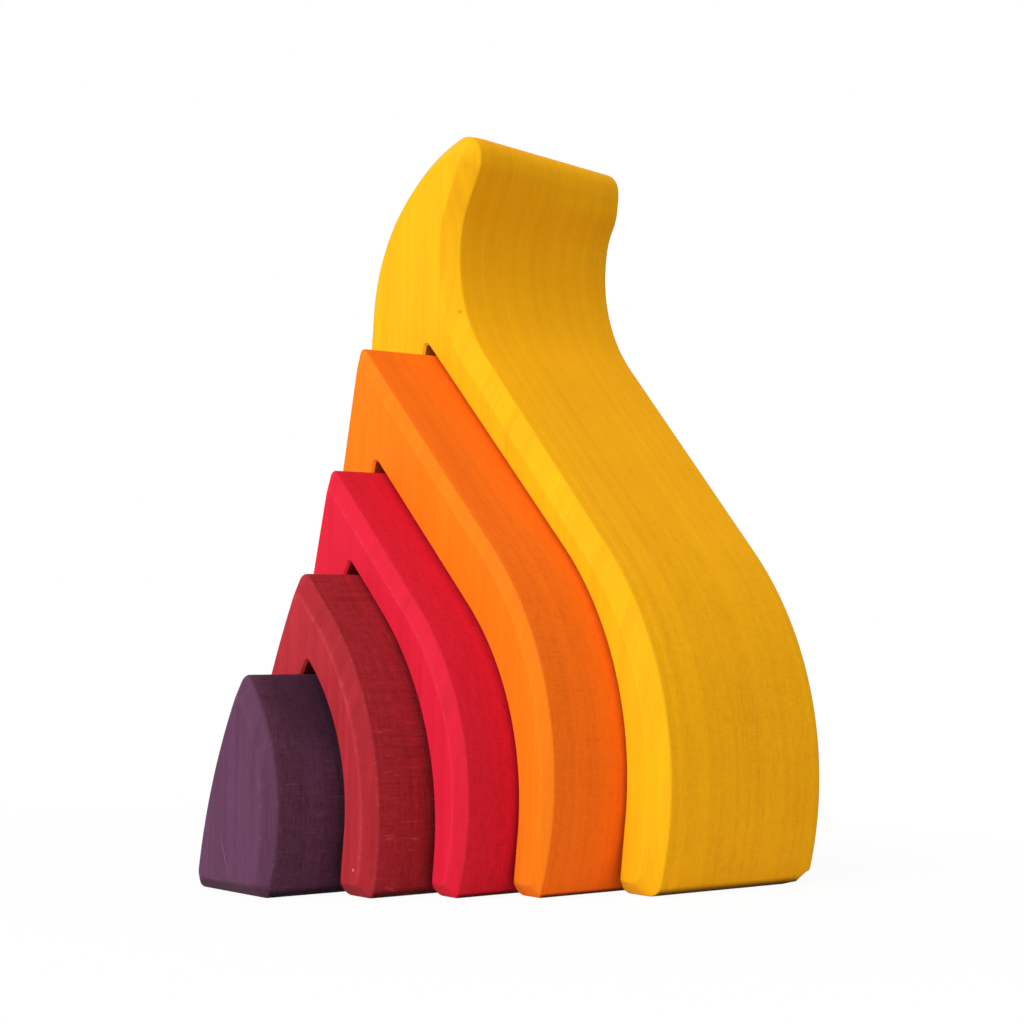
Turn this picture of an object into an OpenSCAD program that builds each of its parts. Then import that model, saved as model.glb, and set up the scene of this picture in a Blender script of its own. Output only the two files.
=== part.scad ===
// Nesting flame stacker: five solid-wood pieces sawn out of one block with a thin blade.
// They stand stepped forward out of each other, each one still partly inside the next larger one.
// X runs along the front faces, Y from the front to the back, Z up.
// The origin is on the table, under the middle of the whole stack.

/* [Block] */
// Width of the block on the table, from the left foot to the belly
block_width = 144.1; // [130:0.1:160]
// Thickness of the block, which is the depth of every piece
block_depth = 70; // [50:1:90]
// Saw cut between two pieces
kerf = 1.8; // [1:0.1:3]
// How far the top of a saw cut lies above the sharp peak inside it
cut_rise = 1.8; // [1:0.1:3]
// Angle of the upper right flanks of the core and the arches, from the vertical
slope_angle = 45.5; // [42:0.5:50]
// Chamfer along the outer edges of the core and the arches
edge_chamfer = 3.3; // [1:0.1:4.5]
// Chamfer under the front and the back of every foot
foot_chamfer = 3.5; // [1:0.1:5]
// Softened front and back edges of the saw cuts
cut_ease = 1; // [0.4:0.1:2]
// Height sanded off every sharp peak
peak_sanding = 1.4; // [0.4:0.1:2.5]

/* [Purple core] */
// Height of the core's peak before it is sanded
core_height = 60; // [52:0.5:66]
// How far the core stands to the left of the middle of its saw cut
core_offset = 1.5; // [0:0.1:1.6]
// Height of the core's widest place
core_belly_height = 21; // [15:0.5:26]
// Radius of the core's right flank
core_belly_radius = 56.2; // [50:0.2:64]
// How far the core's left flank bows out
core_back_bow = 3.2; // [1:0.1:6]

/* [Dark red arch] */
// Thickness of the right leg at its belly
dark_red_right_leg = 10; // [8:0.2:14]
// Thickness of the left leg at the table
dark_red_left_leg = 13.8; // [10:0.2:17]
// Rise of the peak above the core's peak
dark_red_rise = 27.2; // [22:0.2:34]
// Height of the widest place
dark_red_belly_height = 18.2; // [14:0.2:24]
// Radius of the right flank
dark_red_belly_radius = 81.5; // [74:0.5:90]
// How far the left flank bows out
dark_red_back_bow = 3.9; // [1:0.1:6]
// Step of the core out of this arch, front face to front face
core_step = 23.3; // [5:0.1:60]

/* [Crimson arch] */
// Thickness of the right leg at its belly
crimson_right_leg = 11.4; // [8:0.2:15]
// Thickness of the left leg at the table
crimson_left_leg = 11.2; // [8:0.2:15]
// Rise of the peak above the dark red arch's peak
crimson_rise = 29.5; // [24:0.5:36]
// Height of the widest place
crimson_belly_height = 23.5; // [18:0.5:30]
// Radius of the right flank
crimson_belly_radius = 75.7; // [70:0.2:84]
// Step of the dark red arch out of this arch
dark_red_step = 20.3; // [5:0.1:60]

/* [Orange arch] */
// Thickness of the right leg at its belly
orange_right_leg = 10.7; // [8:0.2:15]
// Thickness of the left leg at the table
orange_left_leg = 12.6; // [8:0.2:15]
// Rise of the peak above the crimson arch's peak
orange_rise = 36.8; // [30:0.2:44]
// Height of the widest place
orange_belly_height = 29.1; // [24:0.2:36]
// Radius of the right flank
orange_belly_radius = 91.8; // [84:0.2:98]
// Step of the crimson arch out of this arch
crimson_step = 19.8; // [5:0.1:60]

/* [Yellow flame] */
// Thickness of the right leg at its belly
flame_right_leg = 12.4; // [9:0.2:16]
// Thickness of the left leg at the table
flame_left_leg = 13; // [9:0.2:16]
// Height of the widest place
flame_belly_height = 27.7; // [22:0.2:34]
// Radius of the right flank below the slope
flame_belly_radius = 97.6; // [92:0.2:104]
// Angle of the slope between belly and neck, from the vertical
flame_slope_angle = 43.8; // [41:0.1:46]
// Radius of the hollow neck on the right
neck_radius = 44.8; // [40:0.2:50]
// Height of the neck's deepest place above the orange arch's peak
neck_rise = 29.1; // [24:0.1:36]
// Width of the wood from the neck's deepest place to the back of the head
neck_width = 39.5; // [34:0.5:46]
// Radius of the back of the head
head_radius = 57.5; // [52:0.5:63]
// Drop from the neck's deepest place to the centre of the back of the head
head_drop = 19.4; // [14:0.2:24]
// Radius of the rounded tip
tip_radius = 7; // [5.5:0.1:9]
// Chamfer along the flame's outer edges
flame_chamfer = 4.7; // [1:0.1:5]
// Step of the orange arch out of the flame
orange_step = 28.5; // [5:0.1:60]

/* [Hidden] */
$fn = 480;

// How far a cutting form runs past the faces that it cuts
overrun = 1;

// Outer places on the table and at the bellies, from the middle of the block inwards, cut by cut
flame_left = -block_width / 2;
orange_left = flame_left + flame_left_leg + kerf;
crimson_left = orange_left + orange_left_leg + kerf;
dark_red_left = crimson_left + crimson_left_leg + kerf;
core_left = dark_red_left + dark_red_left_leg + kerf;
flame_right = block_width / 2;
orange_right = flame_right - flame_right_leg - kerf;
crimson_right = orange_right - orange_right_leg - kerf;
dark_red_right = crimson_right - crimson_right_leg - kerf;
core_right = dark_red_right - dark_red_right_leg - kerf;

// Heights of the peaks before they are sanded
dark_red_height = core_height + dark_red_rise;
crimson_height = dark_red_height + crimson_rise;
orange_height = crimson_height + orange_rise;

// Places of the front faces, counted from the flame's
orange_front = -orange_step;
crimson_front = orange_front - crimson_step;
dark_red_front = crimson_front - dark_red_step;
core_front = dark_red_front - core_step;

// The whole stack is centred over the origin
centre_y = (core_front + block_depth) / 2;

// Outline of a pointed form: [belly centre x, belly centre z, belly radius, peak z, left foot x, back bow].
// A back with no bow is straight.
core_form = [core_right - core_belly_radius, core_belly_height, core_belly_radius,
    core_height, core_left, core_back_bow];
dark_red_form = [dark_red_right - dark_red_belly_radius, dark_red_belly_height, dark_red_belly_radius,
    dark_red_height, dark_red_left, dark_red_back_bow];
crimson_form = [crimson_right - crimson_belly_radius, crimson_belly_height, crimson_belly_radius,
    crimson_height, crimson_left, 0];
orange_form = [orange_right - orange_belly_radius, orange_belly_height, orange_belly_radius,
    orange_height, orange_left, 0];

// Where the right flank of a pointed form is at the height of its peak: on the belly's arc or on the slope
function peak_x(form) =
    let (slope_z = form[1] + form[2] * sin(slope_angle))
    form[3] <= slope_z
        ? form[0] + sqrt(pow(form[2], 2) - pow(form[3] - form[1], 2))
        : form[0] + form[2] * cos(slope_angle) - (form[3] - slope_z) * tan(slope_angle);

// A bowed left flank is an arc from the foot to the peak: [centre x, centre z, radius]
function back_arc(form) =
    let (run = peak_x(form) - form[4])
    let (chord = norm([run, form[3]]))
    let (radius = (pow(chord, 2) / 4 + pow(form[5], 2)) / (2 * form[5]))
    let (reach = (radius - form[5]) / chord)
    [form[4] + run / 2 + form[3] * reach, form[3] / 2 - run * reach, radius];

// Section of a rim with chamfered edges, from the inner line to the rim's radius.
// The chamfers run on past the front and the back, which the footing cuts off.
function chamfered(radius, edge, inner = 0) = [
    [inner, -overrun],
    [radius - edge - overrun, -overrun],
    [radius, edge],
    [radius, block_depth - edge],
    [radius - edge - overrun, block_depth + overrun],
    [inner, block_depth + overrun]];

// Section of a cutting rim whose edges flare, so that it leaves chamfered edges
function flared(radius, edge, inner = 0) = [
    [inner, -overrun],
    [radius + edge, -overrun],
    [radius + edge, 0],
    [radius, edge],
    [radius, block_depth - edge],
    [radius + edge, block_depth],
    [radius + edge, block_depth + overrun],
    [inner, block_depth + overrun]];

// Rim of a pointed form: chamfered on the piece itself, flared where the saw cuts round it
function rim(radius, cut, inner = 0) =
    cut ? flared(radius, cut_ease, inner) : chamfered(radius, edge_chamfer, inner);

// Yellow flame: belly centre, neck centre, centre of the back of the head and centre of the tip, as [x, z]
flame_belly = [flame_right - flame_belly_radius, flame_belly_height];
neck_height = orange_height + neck_rise;
neck_reach = flame_belly_radius + neck_radius;
slope_run = (neck_height - flame_belly_height - neck_reach * sin(flame_slope_angle)) / cos(flame_slope_angle);
neck = [flame_belly[0] + neck_reach * cos(flame_slope_angle) - slope_run * sin(flame_slope_angle), neck_height];
head = [neck[0] - neck_radius - neck_width + head_radius, neck_height - head_drop];

// The tip lies inside the back of the head and outside the neck, touching both
tip_to_head = head_radius - tip_radius;
tip_to_neck = neck_radius + tip_radius;
head_to_neck = norm(neck - head);
toward_neck = (neck - head) / head_to_neck;
tip_along = (pow(head_to_neck, 2) + pow(tip_to_head, 2) - pow(tip_to_neck, 2)) / (2 * head_to_neck);
tip_aside = sqrt(pow(tip_to_head, 2) - pow(tip_along, 2));
tip = head + tip_along * toward_neck + tip_aside * [-toward_neck[1], toward_neck[0]];
tip_turn = atan2(tip[0] - head[0], tip[1] - head[1]);

// The left leg's back runs straight from the table to the back of the head
back_span = norm(head - [flame_left, 0]);
back_lean = atan2(head[0] - flame_left, head[1]) - asin(head_radius / back_span);

// Turned disc with its axis along Y
module disc(section) {
    rotate([-90, 0, 0])
        rotate_extrude()
            polygon(section);
}

// The same section drawn straight along Z
module straight(section, run) {
    linear_extrude(height = run)
        polygon(section);
}

// Right flank: a disc drawn out along the tangent that leans to the left by the slope angle
module right_flank(x, z, section, angle, run) {
    translate([x, 0, z]) {
        disc(section);
        rotate([0, -angle, 0])
            straight(section, run);
    }
}

// Left flank of a pointed form: an arc, or a straight line that runs on past the foot and the peak
module left_flank(form, gap, cut) {
    if (form[5] > 0) {
        back = back_arc(form);
        translate([back[0], 0, back[1]])
            disc(rim(back[2] + gap, cut));
    } else {
        run = peak_x(form) - form[4];
        translate([form[4] + 2 * run, 0, 2 * form[3]])
            rotate([0, 180 + atan2(run, form[3]), 0])
                straight(rim(gap, cut, -block_width), 3 * norm([run, form[3]]));
    }
}

// Pointed form grown by a gap: the piece itself, or the room that the saw leaves round it
module pointed(form, gap, cut) {
    intersection() {
        right_flank(form[0], form[1], rim(form[2] + gap, cut), slope_angle, form[3]);
        left_flank(form, gap, cut);
    }
}

// Solid piece of a pointed form, standing on the table
module pointed_block(form) {
    intersection() {
        pointed(form, 0, false);
        footing(form[3] - peak_sanding);
    }
}

// Room that the saw leaves round a pointed form, with a blunt top where the blade turned
module saw_cut(form) {
    intersection() {
        pointed(form, kerf, true);
        translate([-block_width, -2 * overrun, -2 * overrun])
            cube([2 * block_width, block_depth + 4 * overrun, form[3] + cut_rise + 2 * overrun]);
    }
}

// Everything from the table up to a top, with the chamfers under the front and the back of the feet
module footing(top) {
    translate([-block_width, 0, 0])
        rotate([90, 0, 90])
            linear_extrude(height = 2 * block_width)
                polygon([
                    [foot_chamfer, 0],
                    [block_depth - foot_chamfer, 0],
                    [block_depth, foot_chamfer],
                    [block_depth, top],
                    [0, top],
                    [0, foot_chamfer]]);
}

// Everything to the right of the flame's back: the straight leg, the round head and the tip
module flame_back() {
    translate([head[0], 0, head[1]])
        rotate([0, 180 + back_lean, 0])
            straight(chamfered(head_radius, flame_chamfer, -block_width), back_span);
    intersection() {
        translate([head[0], 0, head[1]])
            disc(chamfered(head_radius, flame_chamfer));
        translate([head[0], 0, head[1]])
            rotate([0, tip_turn, 0])
                translate([-head_radius, -2 * overrun, 0])
                    cube([head_radius, block_depth + 4 * overrun, head_radius]);
    }
    translate([tip[0], 0, tip[1]])
        disc(chamfered(tip_radius, flame_chamfer));
    translate([0, block_depth + overrun, 0])
        rotate([90, 0, 0])
            linear_extrude(height = block_depth + 2 * overrun)
                polygon([head, tip, neck]);
}

// Everything to the left of the flame's belly and slope, and all of the head above the slope
module flame_front() {
    right_flank(flame_belly[0], flame_belly[1], chamfered(flame_belly_radius, flame_chamfer),
        flame_slope_angle, slope_run + tip_radius);
    translate([neck[0], 0, neck[1]])
        rotate([0, -flame_slope_angle, 0])
            translate([-block_width, -overrun, 0])
                cube([block_width + neck_radius, block_depth + 2 * overrun, neck_height]);
}

module yellow_flame() {
    color([0.98, 0.72, 0.1])
        difference() {
            intersection() {
                flame_back();
                flame_front();
                footing(2 * neck_height);
            }
            translate([neck[0], 0, neck[1]])
                disc(flared(neck_radius, flame_chamfer));
            saw_cut(orange_form);
        }
}

module orange_arch() {
    color([0.98, 0.48, 0.08])
        difference() {
            pointed_block(orange_form);
            saw_cut(crimson_form);
        }
}

module crimson_arch() {
    color([0.86, 0.12, 0.24])
        difference() {
            pointed_block(crimson_form);
            saw_cut(dark_red_form);
        }
}

module dark_red_arch() {
    color([0.62, 0.13, 0.17])
        difference() {
            pointed_block(dark_red_form);
            saw_cut(core_form);
        }
}

module purple_core() {
    color([0.34, 0.2, 0.31])
        translate([-core_offset, 0, 0])
            pointed_block(core_form);
}

// Each piece in its place, stepped forward
module placed(front) {
    translate([0, front - centre_y, 0])
        children();
}

placed(0) yellow_flame();
placed(orange_front) orange_arch();
placed(crimson_front) crimson_arch();
placed(dark_red_front) dark_red_arch();
placed(core_front) purple_core();
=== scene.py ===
import math

import bpy
import numpy as np
from mathutils import Matrix, Vector


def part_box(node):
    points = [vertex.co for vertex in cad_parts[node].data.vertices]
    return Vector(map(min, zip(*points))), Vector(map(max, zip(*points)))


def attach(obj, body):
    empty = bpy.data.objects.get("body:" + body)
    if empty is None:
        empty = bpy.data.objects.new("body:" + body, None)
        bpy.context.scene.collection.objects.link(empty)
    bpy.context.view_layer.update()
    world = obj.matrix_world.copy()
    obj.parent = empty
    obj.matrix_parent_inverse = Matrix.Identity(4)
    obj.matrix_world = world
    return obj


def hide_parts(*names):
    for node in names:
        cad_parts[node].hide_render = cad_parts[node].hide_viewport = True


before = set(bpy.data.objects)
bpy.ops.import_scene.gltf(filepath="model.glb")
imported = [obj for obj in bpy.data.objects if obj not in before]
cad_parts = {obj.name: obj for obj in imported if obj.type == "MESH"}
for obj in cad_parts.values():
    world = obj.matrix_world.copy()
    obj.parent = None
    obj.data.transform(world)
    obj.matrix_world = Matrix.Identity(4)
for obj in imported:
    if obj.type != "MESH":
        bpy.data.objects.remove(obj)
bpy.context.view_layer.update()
scene = bpy.context.scene
scene.view_settings.view_transform = "Standard"


# Purple core: the solid heart of the block, lime wood stained through with a dark plum water stain.
# It is band-sawn to a pointed outline, its long edges are chamfered on a belt, and it is waxed by hand.
# Its section also holds what all five pieces share: the outline, the sawn block and the stain.

# An outline is a row of edges walked with the wood on the left: straight ones and arcs.
# Each edge has the width of the chamfer that is sanded along it at the front and the back.
def straight_edge(start, heading, chamfer, steps):
    along = np.array([math.sin(heading), math.cos(heading)])
    return {"at": np.array(start), "along": along, "chamfer": chamfer, "steps": steps}


def round_edge(centre, radius, chamfer, steps, hollow=False):
    return {"at": np.array(centre), "radius": radius, "hollow": hollow, "chamfer": chamfer, "steps": steps}


def corner(radius, near, steps=8, inner=False):
    """A rounded corner between two edges, next to a known place. An inner one is left by the saw as it turns."""
    return radius, np.array(near), steps, inner


def set_in(edge, depth):
    """The same edge, moved into the wood."""
    moved = dict(edge)
    if "radius" in edge:
        moved["radius"] = edge["radius"] + (depth if edge["hollow"] else -depth)
    else:
        moved["at"] = edge["at"] + depth * np.array([-edge["along"][1], edge["along"][0]])
    return moved


def nearest(edge, point):
    """The place on an edge that is nearest to a point."""
    if "radius" in edge:
        out = point - edge["at"]
        return edge["at"] + edge["radius"] * out / np.linalg.norm(out)
    return edge["at"] + ((point - edge["at"]) @ edge["along"]) * edge["along"]


def crossing(one, other, near):
    """Where two edges cross, next to a known place."""
    if "radius" not in one and "radius" not in other:
        ways = np.column_stack([one["along"], -other["along"]])
        return one["at"] + np.linalg.solve(ways, other["at"] - one["at"])[0] * one["along"]
    if "radius" not in one:
        one, other = other, one
    if "radius" not in other:
        foot = nearest(other, one["at"])
        half = math.sqrt(max(one["radius"] ** 2 - np.sum((foot - one["at"]) ** 2), 0))
        found = [foot + half * other["along"], foot - half * other["along"]]
    else:
        apart = other["at"] - one["at"]
        far = np.linalg.norm(apart)
        way = apart / far
        mid = (far ** 2 + one["radius"] ** 2 - other["radius"] ** 2) / (2 * far)
        half = math.sqrt(max(one["radius"] ** 2 - mid ** 2, 0))
        side = half * np.array([-way[1], way[0]])
        found = [one["at"] + mid * way + side, one["at"] + mid * way - side]
    return min(found, key=lambda p: np.linalg.norm(p - near))


def smooth_join(one, other):
    """Where two edges run smoothly into each other."""
    if "radius" in one and "radius" in other:
        large, small = sorted((one, other), key=lambda edge: -edge["radius"])
        way = (small["at"] - large["at"]) / np.linalg.norm(small["at"] - large["at"])
        return large["at"] + large["radius"] * way
    return nearest(other, one["at"]) if "radius" in one else nearest(one, other["at"])


def along_arc(centre, start, end, steps, turn):
    """Places along an arc between two of its points, turning left or right."""
    first = math.atan2(*(start - centre)[::-1])
    swing = (math.atan2(*(end - centre)[::-1]) - first) * turn % (2 * math.pi) * turn
    radius = np.linalg.norm(start - centre)
    angles = first + swing * np.linspace(0, 1, steps + 1)
    return centre + radius * np.column_stack([np.cos(angles), np.sin(angles)])


def outline_loop(edges, corners, chamfered):
    """Points round an outline, or round the front face that its chamfers leave, and the chamfer at each point.
    A corner follows each edge, or None where that edge runs smoothly on into the next."""
    moved = [set_in(edge, edge["chamfer"] if chamfered else 0) for edge in edges]
    next_edges, next_moved = edges[1:] + edges[:1], moved[1:] + moved[:1]
    joins = []
    for edge, next_edge, one, other, rounding in zip(edges, next_edges, moved, next_moved, corners):
        if rounding is None:
            place = smooth_join(one, other)
            joins.append((place, place, None))
            continue
        radius, near, steps, inner = rounding
        if inner:
            centre = crossing(set_in(edge, -radius), set_in(next_edge, -radius), near)
        else:
            centre = crossing(set_in(one, radius), set_in(other, radius), near)
        joins.append((nearest(one, centre), nearest(other, centre), (centre, steps, -1 if inner else 1)))
    points, widths = [], []
    for i, edge in enumerate(moved):
        start, steps = joins[i - 1][1], edge["steps"]
        end, after, bend = joins[i]
        if "radius" in edge:
            run = along_arc(edge["at"], start, end, steps, -1 if edge["hollow"] else 1)
        else:
            run = start + np.linspace(0, 1, steps + 1)[:, None] * (end - start)
        points.extend(run[:-1])
        widths.extend([edge["chamfer"]] * steps)
        if bend:
            centre, steps, turn = bend
            points.extend(along_arc(centre, end, after, steps, turn)[:-1])
            widths.extend(np.linspace(edge["chamfer"], next_moved[i]["chamfer"], steps + 1)[:-1])
    return np.array(points), np.array(widths)


# The sawn block: an outline carried through the thickness of the wood, with softened chamfers at both ends.
# Over the width of an edge, from its face at 0 to its side at 1, ramps (gain, offset) mark what is sawn and bevelled,
# and narrow bands mark the two arrises. An edge with a narrow chamfer is marked as cut, and gets painted shade in the
# stain.
EDGE_RINGS, SIDE_SPANS = 12, 14
SAWN_RAMP, BEVEL_RAMP, CUT_RAMP = (4.5, -3.3), (8.0, -1.2), (-1500.0, 2.0)
ARRIS_GAIN, ARRIS_OFFSETS = 5.0, (-0.85, -4.15)
WELD_DISTANCE = 1e-6


def sawn_block_tree():
    tree = bpy.data.node_groups.new("sawn_block", "GeometryNodeTree")
    tree.interface.new_socket("Geometry", in_out="OUTPUT", socket_type="NodeSocketGeometry")
    for name, kind in (("Outline", "Geometry"), ("Front", "Float"), ("Thickness", "Float"), ("Edge rings", "Int"),
                       ("Side spans", "Int"), ("Softness", "Float"), ("Stain", "Material")):
        tree.interface.new_socket(name, in_out="INPUT", socket_type="NodeSocket" + kind)
    nodes, links = tree.nodes, tree.links
    given = nodes.new("NodeGroupInput").outputs

    def put(value, socket):
        if isinstance(value, bpy.types.NodeSocket):
            links.new(value, socket)
        else:
            socket.default_value = value

    def sum_of(kind, a, b=0.0, c=0.0, clamp=False):
        node = nodes.new("ShaderNodeMath")
        node.operation, node.use_clamp = kind, clamp
        for value, socket in zip((a, b, c), node.inputs):
            put(value, socket)
        return node.outputs[0]

    def whole(kind, a, b):
        node = nodes.new("FunctionNodeIntegerMath")
        node.operation = kind
        put(a, node.inputs[0])
        put(b, node.inputs[1])
        return node.outputs[0]

    def vector(kind, a, b):
        node = nodes.new("ShaderNodeVectorMath")
        node.operation = kind
        put(a, node.inputs[0])
        put(b, node.inputs["Scale"] if kind == "SCALE" else node.inputs[1])
        return node.outputs[0]

    def read(kind, name):
        node = nodes.new("GeometryNodeInputNamedAttribute")
        node.data_type = kind
        node.inputs["Name"].default_value = name
        return node.outputs["Attribute"]

    def at_outline(kind, value, index):
        node = nodes.new("GeometryNodeSampleIndex")
        node.data_type = kind
        links.new(given["Outline"], node.inputs["Geometry"])
        links.new(value, node.inputs["Value"])
        links.new(index, node.inputs["Index"])
        return node.outputs[0]

    # The chamfers lie at 45 degrees, and each of their bends takes this much of the depth
    bend = sum_of("MULTIPLY", given["Softness"], math.sqrt(0.5))
    slant = sum_of("MULTIPLY_ADD", bend, -2.0, 1.0)

    def ramp(share):
        """Softened chamfer: how deep it is at a share of its width, in thirds: a bend, a flat and a bend."""
        first, flat, last = (sum_of("MULTIPLY_ADD", share, 3.0, -third, True) for third in (0.0, 1.0, 2.0))
        start = sum_of("MULTIPLY_ADD", sum_of("MULTIPLY", first, first), bend, sum_of("MULTIPLY", flat, slant))
        end = sum_of("MULTIPLY_ADD", sum_of("MULTIPLY", last, last), sum_of("SUBTRACT", given["Softness"], bend),
                     sum_of("MULTIPLY", last, sum_of("MULTIPLY", bend, 2.0)))
        return sum_of("ADD", start, end)

    size = nodes.new("GeometryNodeAttributeDomainSize")
    links.new(given["Outline"], size.inputs[0])
    count = size.outputs["Point Count"]
    edge, spans = given["Edge rings"], given["Side spans"]
    last_ring = whole("ADD", whole("MULTIPLY", edge, 2), spans)
    rings = whole("ADD", last_ring, 1)
    index = nodes.new("GeometryNodeInputIndex").outputs[0]
    place = nodes.new("GeometryNodeInputPosition").outputs[0]

    # The side of the block is a grid: one column for each point of the outline, one row for each ring
    column = whole("MODULO", whole("DIVIDE", index, rings), count)
    row = whole("MODULO", index, rings)
    front_share = sum_of("DIVIDE", row, edge, clamp=True)
    back_share = sum_of("DIVIDE", whole("SUBTRACT", last_ring, row), edge, clamp=True)
    side_share = sum_of("DIVIDE", whole("SUBTRACT", row, edge), spans, clamp=True)
    inset = sum_of("MAXIMUM", ramp(sum_of("SUBTRACT", 1.0, front_share)), ramp(sum_of("SUBTRACT", 1.0, back_share)))
    reach = sum_of("ADD", given["Softness"], 1.0)
    width = at_outline("FLOAT", read("FLOAT", "chamfer"), column)
    edge_depth = sum_of("MULTIPLY", width, reach)
    side_depth = sum_of("SUBTRACT", given["Thickness"], sum_of("MULTIPLY", edge_depth, 2.0))
    behind = sum_of("SUBTRACT", edge_depth, sum_of("MULTIPLY", width, ramp(back_share)))
    depth = sum_of("ADD", sum_of("MULTIPLY_ADD", width, ramp(front_share), given["Front"]),
                   sum_of("MULTIPLY_ADD", side_share, side_depth, behind))

    def laid(share, deep, at):
        to_face = at_outline("FLOAT_VECTOR", read("FLOAT_VECTOR", "to_face"), at)
        moved = vector("ADD", at_outline("FLOAT_VECTOR", place, at), vector("SCALE", to_face, share))
        lift = nodes.new("ShaderNodeCombineXYZ")
        put(deep, lift.inputs["Y"])
        return vector("ADD", moved, lift.outputs[0])

    def set_place(mesh, position):
        node = nodes.new("GeometryNodeSetPosition")
        links.new(mesh, node.inputs["Geometry"])
        links.new(position, node.inputs["Position"])
        return node.outputs[0]

    def flipped(mesh):
        node = nodes.new("GeometryNodeFlipFaces")
        links.new(mesh, node.inputs[0])
        return node.outputs[0]

    def shaded(mesh, smooth):
        node = nodes.new("GeometryNodeSetShadeSmooth")
        links.new(mesh, node.inputs[0])
        node.inputs["Shade Smooth"].default_value = smooth
        return node.outputs[0]

    grid = nodes.new("GeometryNodeMeshGrid")
    links.new(whole("ADD", count, 1), grid.inputs["Vertices X"])
    links.new(rings, grid.inputs["Vertices Y"])
    side = shaded(flipped(set_place(grid.outputs["Mesh"], laid(inset, depth, column))), True)

    share = sum_of("MINIMUM", front_share, back_share)
    bands = [sum_of("SUBTRACT", 1.0, sum_of("ABSOLUTE", sum_of("MULTIPLY_ADD", share, ARRIS_GAIN, offset)), clamp=True)
             for offset in ARRIS_OFFSETS]
    marks = {"sawn": sum_of("MULTIPLY_ADD", share, *SAWN_RAMP, True),
             "bevel": sum_of("MULTIPLY_ADD", share, *BEVEL_RAMP, True),
             # cut: the walls inside the saw cuts, which the stain darkens with painted shade
             "cut": sum_of("MULTIPLY_ADD", width, *CUT_RAMP, True),
             "arris": sum_of("MAXIMUM", *bands)}
    for name, value in marks.items():
        mark = nodes.new("GeometryNodeStoreNamedAttribute")
        mark.data_type, mark.domain = "FLOAT", "POINT"
        mark.inputs["Name"].default_value = name
        links.new(side, mark.inputs["Geometry"])
        links.new(value, mark.inputs["Value"])
        side = mark.outputs[0]

    disc = nodes.new("GeometryNodeMeshCircle")
    disc.fill_type = "NGON"
    links.new(count, disc.inputs["Vertices"])
    plate = disc.outputs["Mesh"]
    back_depth = sum_of("ADD", given["Front"], given["Thickness"])
    front = shaded(set_place(plate, laid(reach, given["Front"], index)), False)
    back = shaded(flipped(set_place(plate, laid(reach, back_depth, index))), False)

    join = nodes.new("GeometryNodeJoinGeometry")
    for mesh in (side, front, back):
        links.new(mesh, join.inputs[0])
    weld = nodes.new("GeometryNodeMergeByDistance")
    links.new(join.outputs[0], weld.inputs["Geometry"])
    weld.inputs["Distance"].default_value = WELD_DISTANCE
    real = nodes.new("GeometryNodeRealizeInstances")
    links.new(weld.outputs[0], real.inputs[0])
    stain = nodes.new("GeometryNodeSetMaterial")
    links.new(real.outputs[0], stain.inputs["Geometry"])
    links.new(given["Stain"], stain.inputs["Material"])
    links.new(stain.outputs[0], nodes.new("NodeGroupOutput").inputs[0])
    return tree


sawn_block = sawn_block_tree()

# Every piece is sanded under its feet, at the ends and along the sides
FOOT_CHAMFER, FOOT_ROUNDING = 0.0035, 0.0018


def sawn_piece(name, node, edges, corners, softness, stain):
    """One wooden piece, sawn along an outline and as thick as the CAD solid that it stands for."""
    rim, width = outline_loop(edges, corners, False)
    face, _ = outline_loop(edges, corners, True)
    width = np.maximum(width, FOOT_CHAMFER - rim[:, 1])
    low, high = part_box(node)
    mesh = bpy.data.meshes.new(name)
    count = len(rim)
    mesh.from_pydata([(x, 0, z) for x, z in rim], [(i, (i + 1) % count) for i in range(count)], [])
    way = face - rim
    to_face = np.column_stack([way[:, 0], np.zeros(count), way[:, 1]]).astype(np.float32)
    mesh.attributes.new("to_face", "FLOAT_VECTOR", "POINT").data.foreach_set("vector", to_face.ravel())
    mesh.attributes.new("chamfer", "FLOAT", "POINT").data.foreach_set("value", width.astype(np.float32))
    piece = bpy.data.objects.new(name, mesh)
    scene.collection.objects.link(piece)
    saw = piece.modifiers.new("saw", "NODES")
    saw.node_group = sawn_block
    sizes = {"Front": low.y, "Thickness": high.y - low.y, "Edge rings": EDGE_RINGS, "Side spans": SIDE_SPANS,
             "Softness": softness, "Stain": stain}
    for socket in sawn_block.interface.items_tree:
        if socket.in_out == "INPUT" and socket.name in sizes:
            saw[socket.identifier] = sizes[socket.name]
    depsgraph = bpy.context.evaluated_depsgraph_get()
    made = bpy.data.meshes.new_from_object(piece.evaluated_get(depsgraph), depsgraph=depsgraph)
    piece.modifiers.remove(saw)
    piece.data = made
    made.name = name
    return piece


# The stain: fibres and growth lines run up the wood, the sawn sides drink more of it and keep the saw's lines,
# and the sanded edges are worn lighter. A pair is a least and a most, or the start and the end of a fade,
# and heights are over the table.
LEVEL_PORES, SIDE_PORES, LOW_PORES = (0.2, 0.6), (0.3, 1.0), (0.1, 1.0)
SAW_PATCHES, SAW_STRENGTH = (-0.12, 0.12), (0.2, 1.0)
FIBRE_SHARE, BAND_SHARE, GROWTH_SHARE, CLOUD_SHARE = 0.5, 0.3, 0.6, 0.35
TONE_BALANCE = (0.8, 1.05, 1.25)
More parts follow.
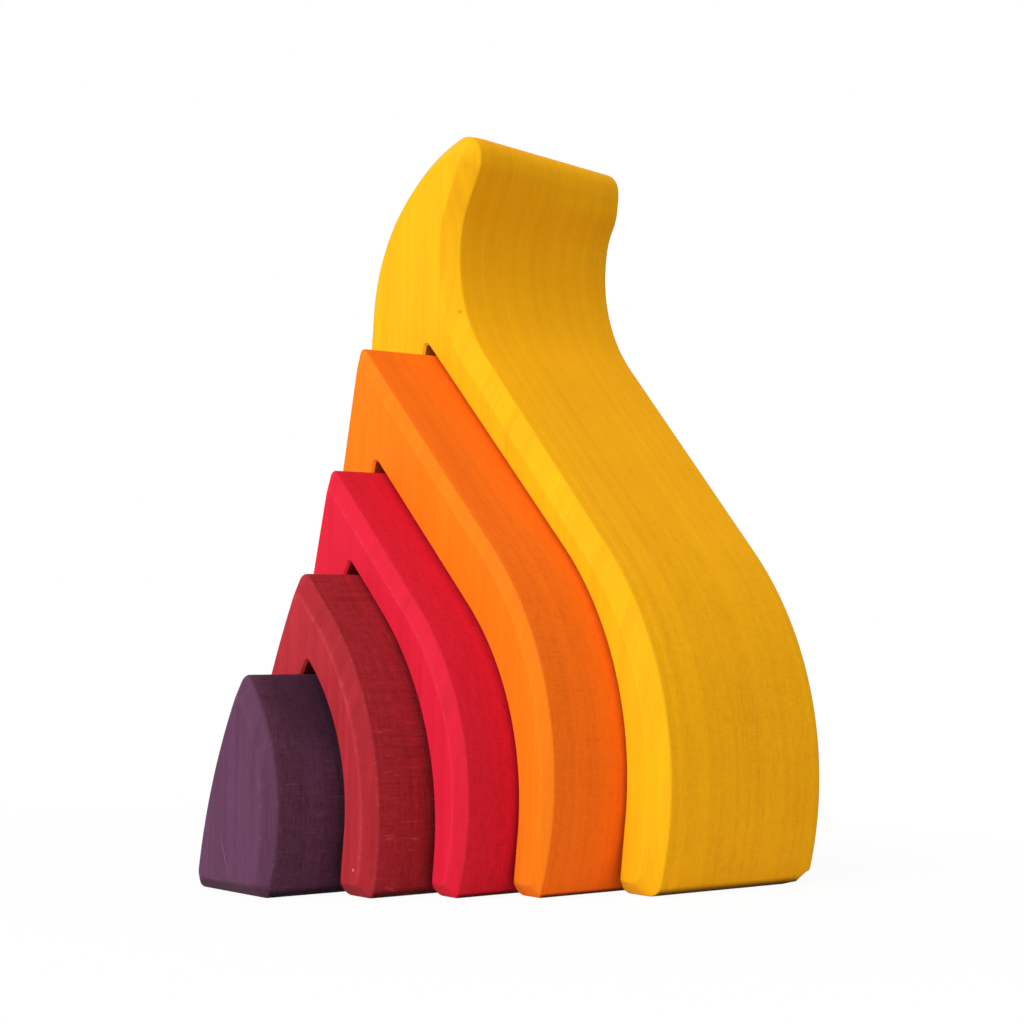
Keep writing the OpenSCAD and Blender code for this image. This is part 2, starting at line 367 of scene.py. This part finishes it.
# The two shades below are painted shade multiplied into the stain: one inside the saw cuts, one a contact shadow along
# the bottom of the sawn sides
CUT_PAINTED_SHADE, PAINTED_CONTACT_SHADOW = (0.45, 0.32, 0.32, 1), (0.05, 0.03, 0.03, 1)
ROUGH_HEIGHTS, FOOT_HEIGHTS, DASH_HEIGHTS, PAINTED_SHADOW_START = (0.06, 0.15), (0.0022, 0.0042), (0.036, 0.05), 0.0004
TORN_RANGE, TORN_STRENGTH, DASH_RANGE = (0.02, 0.16), (0.25, 0.85), (0.15, 0.25)
SIDE_ROUGHNESS, FIBRE_ROUGHNESS = (0.62, 0.7), 0.3
FIBRE_RELIEF, SAW_RELIEF = 0.6, 3
BUMP_STRENGTH, BUMP_DISTANCE, WAX_GLOSS = 0.35, 0.0002, 0.06


def shader_node(tree, kind, inputs, **settings):
    node = tree.nodes.new(kind)
    for key, value in settings.items():
        setattr(node, key, value)
    for key, value in inputs.items():
        if isinstance(value, bpy.types.NodeSocket):
            tree.links.new(value, node.inputs[key])
        else:
            node.inputs[key].default_value = value
    return node


def smooth_step(tree, value, start, end, first=0.0, last=1.0):
    inputs = {"Value": value, "From Min": start, "From Max": end, "To Min": first, "To Max": last}
    return shader_node(tree, "ShaderNodeMapRange", inputs, interpolation_type="SMOOTHSTEP").outputs[0]


def mixed(tree, factor, first, second, kind="MIX"):
    inputs = {"Factor": factor, 6: first, 7: second}
    return shader_node(tree, "ShaderNodeMix", inputs, data_type="RGBA", blend_type=kind).outputs[2]


def stained_grain_group():
    tree = bpy.data.node_groups.new("stained_grain", "ShaderNodeTree")
    for name, kind in (("Face", "Color"), ("Sawn", "Color"), ("Worn", "Color"), ("Bevel", "Float"), ("Foot", "Float"),
                       ("Figure", "Float"), ("Stipple", "Float"), ("Saw lines", "Float"), ("Wear", "Float"),
                       ("Painted shadow height", "Float"), ("Shift", "Vector")):
        tree.interface.new_socket(name, in_out="INPUT", socket_type="NodeSocket" + kind)
    for name, kind in (("Color", "Color"), ("Roughness", "Float"), ("Height", "Float")):
        tree.interface.new_socket(name, in_out="OUTPUT", socket_type="NodeSocket" + kind)
    given = tree.nodes.new("NodeGroupInput").outputs

    def reckon(kind, a, b=0.0, c=0.0, clamp=False):
        return shader_node(tree, "ShaderNodeMath", {0: a, 1: b, 2: c}, operation=kind, use_clamp=clamp).outputs[0]

    def times(value, factor):
        return reckon("MULTIPLY", value, factor)

    def scaled(value, factor, base):
        return reckon("MULTIPLY_ADD", value, factor, base)

    def between(mask, least, most):
        return scaled(mask, most - least, least)

    def attribute(name):
        return shader_node(tree, "ShaderNodeAttribute", {}, attribute_name=name).outputs["Fac"]

    place = shader_node(tree, "ShaderNodeTexCoord", {}).outputs["Object"]
    moved = shader_node(tree, "ShaderNodeVectorMath", {0: place, 1: given["Shift"]}, operation="ADD").outputs[0]
    x, y, z = shader_node(tree, "ShaderNodeSeparateXYZ", {0: moved}).outputs
    height = shader_node(tree, "ShaderNodeSeparateXYZ", {0: place}).outputs["Z"]
    sawn, arris, cut, bevel = (attribute(name) for name in ("sawn", "arris", "cut", "bevel"))
    across = scaled(reckon("SUBTRACT", y, x), sawn, x)

    def below(start, end):
        return reckon("SUBTRACT", 1.0, smooth_step(tree, height, start, end))

    def noise(x, y, z, detail, roughness=0.6):
        at = shader_node(tree, "ShaderNodeCombineXYZ", {"X": x, "Y": y, "Z": z}).outputs[0]
        inputs = {"Vector": at, "Scale": 1.0, "Detail": detail, "Roughness": roughness}
        return reckon("SUBTRACT", shader_node(tree, "ShaderNodeTexNoise", inputs).outputs["Fac"], 0.5)

    def streaks(wide, tall, layer, detail):
        """Streaks up the wood, in their own layer: how often they change in a metre of its width and its height."""
        return noise(times(across, wide), layer, times(z, tall), detail)

    def flecks(wide, deep, tall, **kind):
        """Flecks all through the wood: how often they change in a metre of its width, depth and height."""
        return noise(times(x, wide), times(y, deep), times(z, tall), **kind)

    # Growth, pores and what the saw leaves
    fibre = streaks(wide=700, tall=22, layer=1.7, detail=3)
    band = streaks(wide=170, tall=7, layer=5.3, detail=2)
    growth = streaks(wide=330, tall=4, layer=8.9, detail=1)
    upright = streaks(wide=2300, tall=260, layer=3.1, detail=1)
    level = flecks(wide=330, deep=330, tall=2100, detail=1)
    cloud = flecks(wide=45, deep=45, tall=30, detail=2)
    saw = flecks(wide=60, deep=55, tall=1150, detail=2)
    patch = smooth_step(tree, flecks(wide=30, deep=34, tall=30, detail=1), *SAW_PATCHES)
    low = below(*ROUGH_HEIGHTS)
    pore = scaled(level, between(sawn, *LEVEL_PORES), upright)
    stipple = times(times(pore, given["Stipple"]), between(times(sawn, between(low, *LOW_PORES)), *SIDE_PORES))
    saw = times(saw, times(times(sawn, given["Saw lines"]), between(times(patch, low), *SAW_STRENGTH)))
    grain = reckon("ADD", scaled(fibre, FIBRE_SHARE, times(band, BAND_SHARE)),
                   scaled(growth, GROWTH_SHARE, times(cloud, CLOUD_SHARE)))
    tone = scaled(grain, given["Figure"], reckon("ADD", saw, stipple))

    # Colour: more stain on the sawn sides, painted shade in the cuts and a painted contact shadow along the bottom of
    # the sawn sides
    sanded = scaled(below(*FOOT_HEIGHTS), given["Foot"], given["Bevel"])
    drunk = reckon("MAXIMUM", sawn, times(bevel, sanded), clamp=True)
    stain = mixed(tree, drunk, given["Face"], given["Sawn"])
    # Painted shade inside the saw cuts
    stain = mixed(tree, times(cut, sawn), stain, CUT_PAINTED_SHADE, "MULTIPLY")
    # Painted contact shadow along the bottom of the sawn sides, just over the table
    stain = mixed(tree, times(sawn, below(PAINTED_SHADOW_START, given["Painted shadow height"])), stain, PAINTED_CONTACT_SHADOW, "MULTIPLY")
    warmth = shader_node(tree, "ShaderNodeVectorMath", {0: tone, 1: TONE_BALANCE, 2: (1, 1, 1)},
                         operation="MULTIPLY_ADD").outputs[0]
    toned = shader_node(tree, "ShaderNodeVectorMath", {0: stain, 1: warmth}, operation="MULTIPLY").outputs[0]

    # Worn wood: broken light lines along the edges, and single torn fibres low on the sawn sides
    torn = smooth_step(tree, flecks(wide=420, deep=420, tall=420, detail=3, roughness=0.7), *TORN_RANGE)
    dash = smooth_step(tree, flecks(wide=90, deep=130, tall=1300, detail=1), *DASH_RANGE)
    dash = times(dash, times(times(sawn, given["Saw lines"]), below(*DASH_HEIGHTS)))
    worn = reckon("ADD", times(arris, between(torn, *TORN_STRENGTH)), dash, clamp=True)
    colour = mixed(tree, times(worn, given["Wear"]), toned, given["Worn"])

    out = tree.nodes.new("NodeGroupOutput").inputs
    tree.links.new(colour, out["Color"])
    tree.links.new(scaled(fibre, FIBRE_ROUGHNESS, between(sawn, *SIDE_ROUGHNESS)), out["Roughness"])
    tree.links.new(reckon("ADD", scaled(fibre, FIBRE_RELIEF, pore), times(saw, SAW_RELIEF)), out["Height"])
    return tree


stained_grain = stained_grain_group()

# A single mark in the wood, at its own place: a pore, a speck, a scratch or a patch of painted shade. It fades outside
# its heart.
MARK_HEART = 0.3


def single_mark_group():
    tree = bpy.data.node_groups.new("single_mark", "ShaderNodeTree")
    for name, kind in (("Place", "Vector"), ("Reach", "Vector"), ("Lean", "Float"), ("Strength", "Float")):
        tree.interface.new_socket(name, in_out="INPUT", socket_type="NodeSocket" + kind)
    tree.interface.new_socket("Mask", in_out="OUTPUT", socket_type="NodeSocketFloat")
    given = tree.nodes.new("NodeGroupInput").outputs

    def reckon(kind, a, b):
        return shader_node(tree, "ShaderNodeMath", {0: a, 1: b}, operation=kind).outputs[0]

    def vector(kind, *values):
        return shader_node(tree, "ShaderNodeVectorMath", dict(enumerate(values)), operation=kind).outputs

    place = shader_node(tree, "ShaderNodeTexCoord", {}).outputs["Object"]
    off = vector("SUBTRACT", place, given["Place"])[0]
    x, y, z = shader_node(tree, "ShaderNodeSeparateXYZ", {0: off}).outputs
    x = reckon("SUBTRACT", x, reckon("MULTIPLY", z, given["Lean"]))
    upright = shader_node(tree, "ShaderNodeCombineXYZ", {"X": x, "Y": y, "Z": z}).outputs[0]
    far = vector("LENGTH", vector("DIVIDE", upright, given["Reach"])[0])["Value"]
    mask = reckon("MULTIPLY", smooth_step(tree, far, 1.0, MARK_HEART), given["Strength"])
    tree.links.new(mask, tree.nodes.new("NodeGroupOutput").inputs["Mask"])
    return tree


single_mark = single_mark_group()


def stained_wood(name, face, sawn, worn, bevel, foot, figure, stipple, saw_lines, wear, painted_shadow_height, shift, marks=()):
    """Stained and waxed wood, with its own marks. Bevel and foot say how far the chamfers take the sides' colour, and
    damp how high the painted contact shadow reaches up the sawn sides.
    """
    material = bpy.data.materials.new(name)
    material.use_nodes = True
    tree = material.node_tree
    look = {"Face": (*face, 1), "Sawn": (*sawn, 1), "Worn": (*worn, 1), "Bevel": bevel, "Foot": foot, "Figure": figure,
            "Stipple": stipple, "Saw lines": saw_lines, "Wear": wear, "Painted shadow height": painted_shadow_height, "Shift": shift}
    grain = shader_node(tree, "ShaderNodeGroup", {}, node_tree=stained_grain)
    for key, value in look.items():
        grain.inputs[key].default_value = value
    colour = grain.outputs["Color"]
    for mark in marks:
        spot = shader_node(tree, "ShaderNodeGroup", {}, node_tree=single_mark)
        for key in ("place", "reach", "lean", "strength"):
            spot.inputs[key.capitalize()].default_value = mark[key]
        colour = mixed(tree, spot.outputs["Mask"], colour, (*mark["tint"], 1))
    bump = shader_node(tree, "ShaderNodeBump", {"Height": grain.outputs["Height"], "Strength": BUMP_STRENGTH,
                                                "Distance": BUMP_DISTANCE})
    shader = tree.nodes["Principled BSDF"]
    shader.inputs["Specular IOR Level"].default_value = WAX_GLOSS
    tree.links.new(colour, shader.inputs["Base Color"])
    tree.links.new(grain.outputs["Roughness"], shader.inputs["Roughness"])
    tree.links.new(bump.outputs[0], shader.inputs["Normal"])
    return material


# The pointed outline: a belly arc on the right, a slope up to the peak where there is room for one,
# and a straight or bowed back on the left. Sanding has lowered the peak.
SLOPE = math.radians(45.5)
PEAK_SANDING = 0.0014


def pointed_edges(right, belly_height, belly_radius, peak, left, bow, chamfer):
    """Right flank, back and the place of the peak of a pointed outline."""
    belly = np.array([right - belly_radius, belly_height])
    turn = belly_height + belly_radius * math.sin(SLOPE)
    if peak <= turn:
        peak_x = belly[0] + math.sqrt(belly_radius ** 2 - (peak - belly_height) ** 2)
    else:
        peak_x = belly[0] + belly_radius * math.cos(SLOPE) - (peak - turn) * math.tan(SLOPE)
    run = peak_x - left
    if bow:
        chord = math.hypot(run, peak)
        radius = (chord ** 2 / 4 + bow ** 2) / (2 * bow)
        reach = (radius - bow) / chord
        middle = (left + run / 2 + peak * reach, peak / 2 - run * reach)
        back = round_edge(middle, radius, chamfer, steps=24)
    else:
        back = straight_edge((left, 0), math.pi + math.atan2(run, peak), chamfer, steps=24)
    flank = [round_edge(belly, belly_radius, chamfer, steps=40)]
    if peak > turn:
        start = belly + belly_radius * np.array([math.cos(SLOPE), math.sin(SLOPE)])
        flank.append(straight_edge(start, -SLOPE, chamfer, steps=16))
    return flank, back, np.array([peak_x, peak])


def sanded_peak(flank, back, peak):
    """The rounded corner of a peak that the sanding has lowered."""
    ways = []
    for edge in (flank[-1], back):
        if "along" in edge:
            ways.append(edge["along"])
        else:
            ways.append(np.array([edge["at"][1] - peak[1], peak[0] - edge["at"][0]]) / edge["radius"])
    middle = ways[1] - ways[0]
    half = math.acos(-ways[0] @ ways[1]) / 2
    radius = PEAK_SANDING / (-middle[1] / np.linalg.norm(middle) / math.sin(half) - 1)
    return corner(radius, peak)


def solid_outline(form, chamfer):
    flank, back, peak = pointed_edges(**form, chamfer=chamfer)
    floor = straight_edge((0, 0), math.pi / 2, FOOT_CHAMFER, steps=12)
    corners = [corner(FOOT_ROUNDING, (form["right"], 0)), *[None] * (len(flank) - 1), sanded_peak(flank, back, peak),
               corner(FOOT_ROUNDING, (form["left"], 0))]
    return [floor, *flank, back], corners


low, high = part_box("purple_core")
core_form = {"right": high.x, "belly_height": 0.021, "belly_radius": 0.0562, "peak": high.z + PEAK_SANDING,
             "left": low.x, "bow": 0.0032}
scratch = {"place": (-0.0002, low.y, 0.011), "reach": (0.0003, 0.001, 0.0075), "lean": -0.376,
           "tint": (0.3, 0.16, 0.2), "strength": 0.35}
# Painted shade high on the core's right side, next to the dark red arch
painted_shade_patch = {"place": (0.011, low.y + 0.022, 0.053), "reach": (0.03, 0.021, 0.022), "lean": 0,
                "tint": (0.03, 0.012, 0.022), "strength": 0.6}
purple = stained_wood("purple_stain", face=(0.125, 0.045, 0.096), sawn=(0.087, 0.026, 0.052), worn=(0.2, 0.085, 0.12),
                      bevel=0, foot=1.0, figure=0.8, stipple=1.1, saw_lines=0.35, wear=0.5, painted_shadow_height=0.003,
                      shift=(0.31, 0.12, 0.05), marks=(scratch, painted_shade_patch))
core = sawn_piece("core_block", "purple_core", *solid_outline(core_form, chamfer=0.0034), softness=0.28, stain=purple)
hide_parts("purple_core")
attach(core, "core")


# Dark red arch: sawn out of the block round the core, lime wood in a brownish red water stain.
# Its cut edges inside are only broken with paper, and both feet are rounded where they meet the table.
# The core stands nearer to the left side of the cut than it was sawn.
KERF, LEFT_KERF, CORE_OFFSET = 0.0009, 0.0022, 0.0015
CUT_EASE, CUT_LEAN = 0.0007, math.radians(5)
SAW_ROUNDING, CUT_FOOT_ROUNDING = 0.0003, 0.0012


def reversed_edge(edge, gap):
    """An edge of the piece inside, moved out by the saw's width and walked the other way."""
    moved = set_in(edge, -gap)
    if "radius" in moved:
        moved["hollow"] = True
    else:
        moved["along"] = -moved["along"]
    return moved


def joined_arch(outer, outer_corners, right, left, foot_rounding, inner_form, rise, slip=0):
    """The outer edges, the feet and the cut edges in one walk round the arch.
    The saw turns above the peak of the piece inside, so its way has a blunt top there, and it runs out straight
    at the right foot. Its bend may lie a little further down the slope than that of the piece."""
    inner_flank, inner_back, inner_peak = pointed_edges(**inner_form, chamfer=CUT_EASE)
    top = inner_peak + np.array([0, rise])
    cut = [reversed_edge(inner_back, LEFT_KERF), straight_edge(top, math.pi / 2, CUT_EASE, steps=4),
           *[reversed_edge(edge, KERF) for edge in inner_flank[::-1]]]
    bend = cut[-1]
    bend["at"] = bend["at"] + slip * np.array([math.sin(SLOPE), -math.cos(SLOPE)])
    run_out = bend["at"] + bend["radius"] * np.array([math.cos(CUT_LEAN), -math.sin(CUT_LEAN)])
    cut.append(straight_edge(run_out, math.pi + CUT_LEAN, CUT_EASE, steps=8))
    floor = straight_edge((0, 0), math.pi / 2, FOOT_CHAMFER, steps=6)
    saw_turn = corner(SAW_ROUNDING, top, steps=5, inner=True)
    corners = [corner(foot_rounding, (right, 0)), *outer_corners, corner(foot_rounding, (left, 0)),
               corner(CUT_FOOT_ROUNDING, (inner_form["left"], 0), steps=6), saw_turn, saw_turn,
               *[None] * len(inner_flank), corner(CUT_FOOT_ROUNDING, (inner_form["right"], 0), steps=6)]
    return [floor, *outer, floor, *cut], corners


def arch_outline(form, chamfer, inner_form, rise, slip=0):
    """Outline of an arch: a pointed form with the saw's way round the next smaller one cut out of it."""
    flank, back, peak = pointed_edges(**form, chamfer=chamfer)
    corners = [*[None] * (len(flank) - 1), sanded_peak(flank, back, peak)]
    return joined_arch([*flank, back], corners, form["right"], form["left"], FOOT_ROUNDING, inner_form, rise, slip)


low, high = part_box("dark_red_arch")
core_nest = dict(core_form, right=core_form["right"] + CORE_OFFSET, left=core_form["left"] + CORE_OFFSET)
dark_red_form = {"right": high.x, "belly_height": 0.0182, "belly_radius": 0.0815, "peak": high.z + PEAK_SANDING,
                 "left": low.x, "bow": 0.0039}
speck = {"place": (0.0261, low.y, 0.0075), "reach": (0.0006, 0.001, 0.0006), "lean": 0,
         "tint": (0.75, 0.35, 0.28), "strength": 0.6}
dark_red = stained_wood("dark_red_stain", face=(0.48, 0.028, 0.04), sawn=(0.345, 0.0155, 0.023), worn=(0.6, 0.09, 0.08),
                        bevel=0.6, foot=0, figure=0.8, stipple=0.85, saw_lines=0.8, wear=0.5, painted_shadow_height=0.003,
                        shift=(0.77, 0.43, 0.21), marks=(speck,))
outline = arch_outline(dark_red_form, chamfer=0.0034, inner_form=core_nest, rise=0.0021)
arch = sawn_piece("dark_red_block", "dark_red_arch", *outline, softness=0.22, stain=dark_red)
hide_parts("dark_red_arch")
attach(arch, "dark_red")


# Crimson arch: the next piece out, lime wood in a bright pinkish red water stain.
# It is sawn round the dark red arch, with a straight back on the left,
# and the saw's bend inside it lies a little further down the slope.
low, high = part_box("crimson_arch")
crimson_form = {"right": high.x, "belly_height": 0.0235, "belly_radius": 0.0757, "peak": high.z + PEAK_SANDING,
                "left": low.x, "bow": 0}
crimson = stained_wood("crimson_stain", face=(0.77, 0.016, 0.045), sawn=(0.68, 0.0115, 0.03), worn=(0.85, 0.05, 0.09),
                       bevel=0.2, foot=0, figure=0.5, stipple=0.5, saw_lines=0.15, wear=0.4, painted_shadow_height=0.0017,
                       shift=(0.13, 0.91, 0.37))
outline = arch_outline(crimson_form, chamfer=0.0031, inner_form=dark_red_form, rise=0.002, slip=0.0024)
arch = sawn_piece("crimson_block", "crimson_arch", *outline, softness=0.18, stain=crimson)
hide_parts("crimson_arch")
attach(arch, "crimson")


# Orange arch: the largest of the pointed pieces, lime wood in a warm orange water stain.
# It is sawn round the crimson arch, and its chamfers are the narrowest and crispest of the arches.
low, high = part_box("orange_arch")
orange_form = {"right": high.x, "belly_height": 0.0291, "belly_radius": 0.0918, "peak": high.z + PEAK_SANDING,
               "left": low.x, "bow": 0}
orange = stained_wood("orange_stain", face=(0.95, 0.215, 0.008), sawn=(1.0, 0.17, 0.007), worn=(1.0, 0.3, 0.03),
                      bevel=0, foot=0, figure=0.4, stipple=0.36, saw_lines=0.1, wear=0.35, painted_shadow_height=0.0016,
                      shift=(0.52, 0.27, 0.66))
outline = arch_outline(orange_form, chamfer=0.0027, inner_form=crimson_form, rise=0.0019)
arch = sawn_piece("orange_block", "orange_arch", *outline, softness=0.15, stain=orange)
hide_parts("orange_arch")
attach(arch, "orange")


# Yellow flame: the outside of the block, lime wood in a golden yellow water stain.
# Its right side swings out to the belly and back in at the neck, and the head curls over to a rounded tip.
# It is band-sawn and chamfered on a belt like the arches, and its head and one heel are sanded down by hand.
FLAME_SLOPE = math.radians(43.8)
FLAME_CHAMFER, FLAME_FOOT_ROUNDING = 0.0047, 0.0034
BELLY_RADIUS, BELLY_HEIGHT = 0.0976, 0.0277
NECK_RADIUS, NECK_RISE, NECK_WIDTH = 0.0448, 0.0291, 0.0395
HEAD_RADIUS, HEAD_DROP, TIP_RADIUS = 0.0575, 0.0194, 0.007
low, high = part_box("yellow_flame")
rise, run = math.sin(FLAME_SLOPE), math.cos(FLAME_SLOPE)
reach = BELLY_RADIUS + NECK_RADIUS
belly = np.array([high.x - BELLY_RADIUS, BELLY_HEIGHT])
neck_height = orange_form["peak"] + NECK_RISE
slope_length = (neck_height - belly[1] - reach * rise) / run
neck = np.array([belly[0] + reach * run - slope_length * rise, neck_height])
head = np.array([neck[0] - NECK_RADIUS - NECK_WIDTH + HEAD_RADIUS, neck_height - HEAD_DROP])
tip = crossing({"at": head, "radius": HEAD_RADIUS - TIP_RADIUS}, {"at": neck, "radius": NECK_RADIUS + TIP_RADIUS},
               head + np.array([0, HEAD_RADIUS]))
back_span = math.hypot(head[0] - low.x, head[1])
back_lean = math.atan2(head[0] - low.x, head[1]) - math.asin(HEAD_RADIUS / back_span)
outer = [round_edge(belly, BELLY_RADIUS, FLAME_CHAMFER, steps=48),
         straight_edge(belly + BELLY_RADIUS * np.array([run, rise]), -FLAME_SLOPE, FLAME_CHAMFER, steps=10),
         round_edge(neck, NECK_RADIUS, FLAME_CHAMFER, steps=40, hollow=True),
         round_edge(tip, TIP_RADIUS, FLAME_CHAMFER, steps=24),
         round_edge(head, HEAD_RADIUS, FLAME_CHAMFER, steps=32),
         straight_edge((low.x, 0), math.pi + back_lean, FLAME_CHAMFER, steps=24)]
pore = {"place": (-0.0195, low.y + 0.0034, 0.165), "reach": (0.0009, 0.0012, 0.0009), "lean": 0,
        "tint": (0.5, 0.17, 0.01), "strength": 0.5}
yellow = stained_wood("yellow_stain", face=(0.95, 0.5, 0.008), sawn=(1.0, 0.45, 0.004), worn=(1.0, 0.52, 0.01),
                      bevel=0.4, foot=0, figure=0.4, stipple=0.34, saw_lines=0.1, wear=0.3, painted_shadow_height=0.0028,
                      shift=(0.24, 0.58, 0.83), marks=(pore,))
outline = joined_arch(outer, [None] * (len(outer) - 1), high.x, low.x, FLAME_FOOT_ROUNDING,
                      inner_form=orange_form, rise=0.0018)
flame = sawn_piece("flame_block", "yellow_flame", *outline, softness=0.1, stain=yellow)

# The ridge and the nose of the head are sanded away towards the back, the hook under them is left a little fuller,
# and the back corner of the right foot is sanded off. Heights are over the table.
RIDGE_FALL, RIDGE_START = 0.0042, 0.193
NOSE_LOSS, NOSE_LENGTH, NOSE_START, NOSE_END = 0.0036, 0.018, 0.1985, 0.2105
HOOK_FULLNESS, HOOK_START, HOOK_MIDDLE, HOOK_END = 0.001, 0.19, 0.203, 0.212
HEEL_HEIGHT, HEEL_LENGTH, HEEL_FROM_BACK = 0.0036, 0.0043, 0.0095


def rising(values, start, end):
    share = np.clip((values - start) / (end - start), 0, 1)
    return share * share * (3 - 2 * share)


points = np.empty(3 * len(flame.data.vertices))
flame.data.vertices.foreach_get("co", points)
points = points.reshape(-1, 3)
x, y, z = points.T
back_share = np.clip((y - low.y - 2 * FLAME_CHAMFER) / (high.y - low.y - 2 * FLAME_CHAMFER), 0, 1)
fullness = HOOK_FULLNESS * rising(z, HOOK_START, HOOK_MIDDLE) * rising(z, HOOK_END, HOOK_MIDDLE)
loss = NOSE_LOSS * rising(z, NOSE_START, NOSE_END) * back_share
x += rising(x, tip[0] - NOSE_LENGTH, tip[0]) * (fullness - loss)
z -= RIDGE_FALL * np.clip((z - RIDGE_START) / (high.z - RIDGE_START), 0, 1) * back_share
heel = HEEL_HEIGHT * np.clip((y - high.y + HEEL_FROM_BACK) / HEEL_LENGTH, 0, 1) * (x > 0)
z[:] = np.maximum(z, heel)
flame.data.vertices.foreach_set("co", points.ravel())
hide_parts("yellow_flame")
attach(flame, "flame")


# Floor: a plain pale sheet of paper that runs on to the white of the background and keeps a soft shadow.
# It lies under the feet, and it throws more light back close to the pieces than further out.
FLOOR_SIZE, FLOOR_ROUGHNESS, PAPER = 8, 0.9, (0.95, 0.95, 0.95, 1)
WHITE = {"start": 0.1, "end": 0.26, "first": 0.94, "last": 1.0}
BOUNCE = {"start": 0.1, "end": 0.4, "first": 0.8, "last": 0.42}


def seen_rays(tree):
    """Where a ray is one that shows the surface itself: to the camera, in a reflection or through glass."""
    path = tree.nodes.new("ShaderNodeLightPath").outputs
    seen = path["Is Camera Ray"]
    for name in ("Is Glossy Ray", "Is Transmission Ray"):
        seen = shader_node(tree, "ShaderNodeMath", {0: seen, 1: path[name]}, operation="MAXIMUM").outputs[0]
    return seen


bpy.ops.mesh.primitive_plane_add(size=FLOOR_SIZE)
floor = bpy.context.object
floor.name = "floor"
paper = bpy.data.materials.new("white_floor")
paper.use_nodes = True
tree = paper.node_tree
sheet = tree.nodes["Principled BSDF"]
sheet.inputs["Roughness"].default_value = FLOOR_ROUGHNESS
seen = seen_rays(tree)
place = shader_node(tree, "ShaderNodeTexCoord", {}).outputs["Object"]
far = shader_node(tree, "ShaderNodeVectorMath", {0: place}, operation="LENGTH").outputs["Value"]
tree.links.new(mixed(tree, seen, smooth_step(tree, far, **BOUNCE), PAPER), sheet.inputs["Base Color"])
white_share = shader_node(tree, "ShaderNodeMath", {0: seen, 1: smooth_step(tree, far, **WHITE)},
                          operation="MULTIPLY").outputs[0]
glow = tree.nodes.new("ShaderNodeEmission")
blended = shader_node(tree, "ShaderNodeMixShader", {0: white_share, 1: sheet.outputs[0], 2: glow.outputs[0]})
tree.links.new(blended.outputs[0], tree.nodes["Material Output"].inputs["Surface"])
floor.data.materials.append(paper)


# Light: one wide soft lamp in front, high up and a little to the right, and an even white surround.
# The surround is dimmer as light than it looks to the camera.
SURROUND_LIGHT, SURROUND_SEEN = 0.53, 1.0
LAMP_PLACE, LAMP_AIM, LAMP_SIZE, LAMP_WATTS = Vector((0.18, -1.1, 0.9)), Vector((0, 0, 0.1)), 0.9, 14.3
world = bpy.data.worlds.new("studio")
scene.world = world
world.use_nodes = True
tree = world.node_tree
level = shader_node(tree, "ShaderNodeMapRange",
                    {"Value": seen_rays(tree), "To Min": SURROUND_LIGHT, "To Max": SURROUND_SEEN})
sky = tree.nodes["Background"]
sky.inputs["Color"].default_value = (1, 1, 1, 1)
tree.links.new(level.outputs[0], sky.inputs["Strength"])
lamp = bpy.data.lights.new("front_lamp", "AREA")
lamp.shape, lamp.size, lamp.energy = "SQUARE", LAMP_SIZE, LAMP_WATTS
holder = bpy.data.objects.new("front_lamp", lamp)
scene.collection.objects.link(holder)
holder.location = LAMP_PLACE
holder.rotation_euler = (LAMP_AIM - LAMP_PLACE).to_track_quat("-Z", "Y").to_euler()


# Camera: at the photograph's height and angle, level with the lower arches and turned a little on its axis.
# Its place is measured from the front right corner of the flame's box, at the table.
CAMERA_TURN, CAMERA_TILT, CAMERA_ROLL = math.radians(47.95), math.radians(1.284), math.radians(1.396)
CAMERA_LENS, CAMERA_SENSOR = 89.54, 36
CAMERA_RIGHT, CAMERA_FRONT, CAMERA_HEIGHT = 0.48456, 0.4934, 0.08846
low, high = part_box("yellow_flame")
ahead = Vector((-math.sin(CAMERA_TURN) * math.cos(CAMERA_TILT), math.cos(CAMERA_TURN) * math.cos(CAMERA_TILT),
                math.sin(CAMERA_TILT)))
level_right = Vector((math.cos(CAMERA_TURN), math.sin(CAMERA_TURN), 0))
level_up = level_right.cross(ahead)
right = math.cos(CAMERA_ROLL) * level_right + math.sin(CAMERA_ROLL) * level_up
up = math.cos(CAMERA_ROLL) * level_up - math.sin(CAMERA_ROLL) * level_right
lens = bpy.data.cameras.new("camera")
lens.lens, lens.sensor_width = CAMERA_LENS, CAMERA_SENSOR
camera = bpy.data.objects.new("camera", lens)
scene.collection.objects.link(camera)
stand = Matrix.Translation((high.x + CAMERA_RIGHT, low.y - CAMERA_FRONT, CAMERA_HEIGHT))
camera.matrix_world = stand @ Matrix((right, up, -ahead)).transposed().to_4x4()
scene.camera = camera
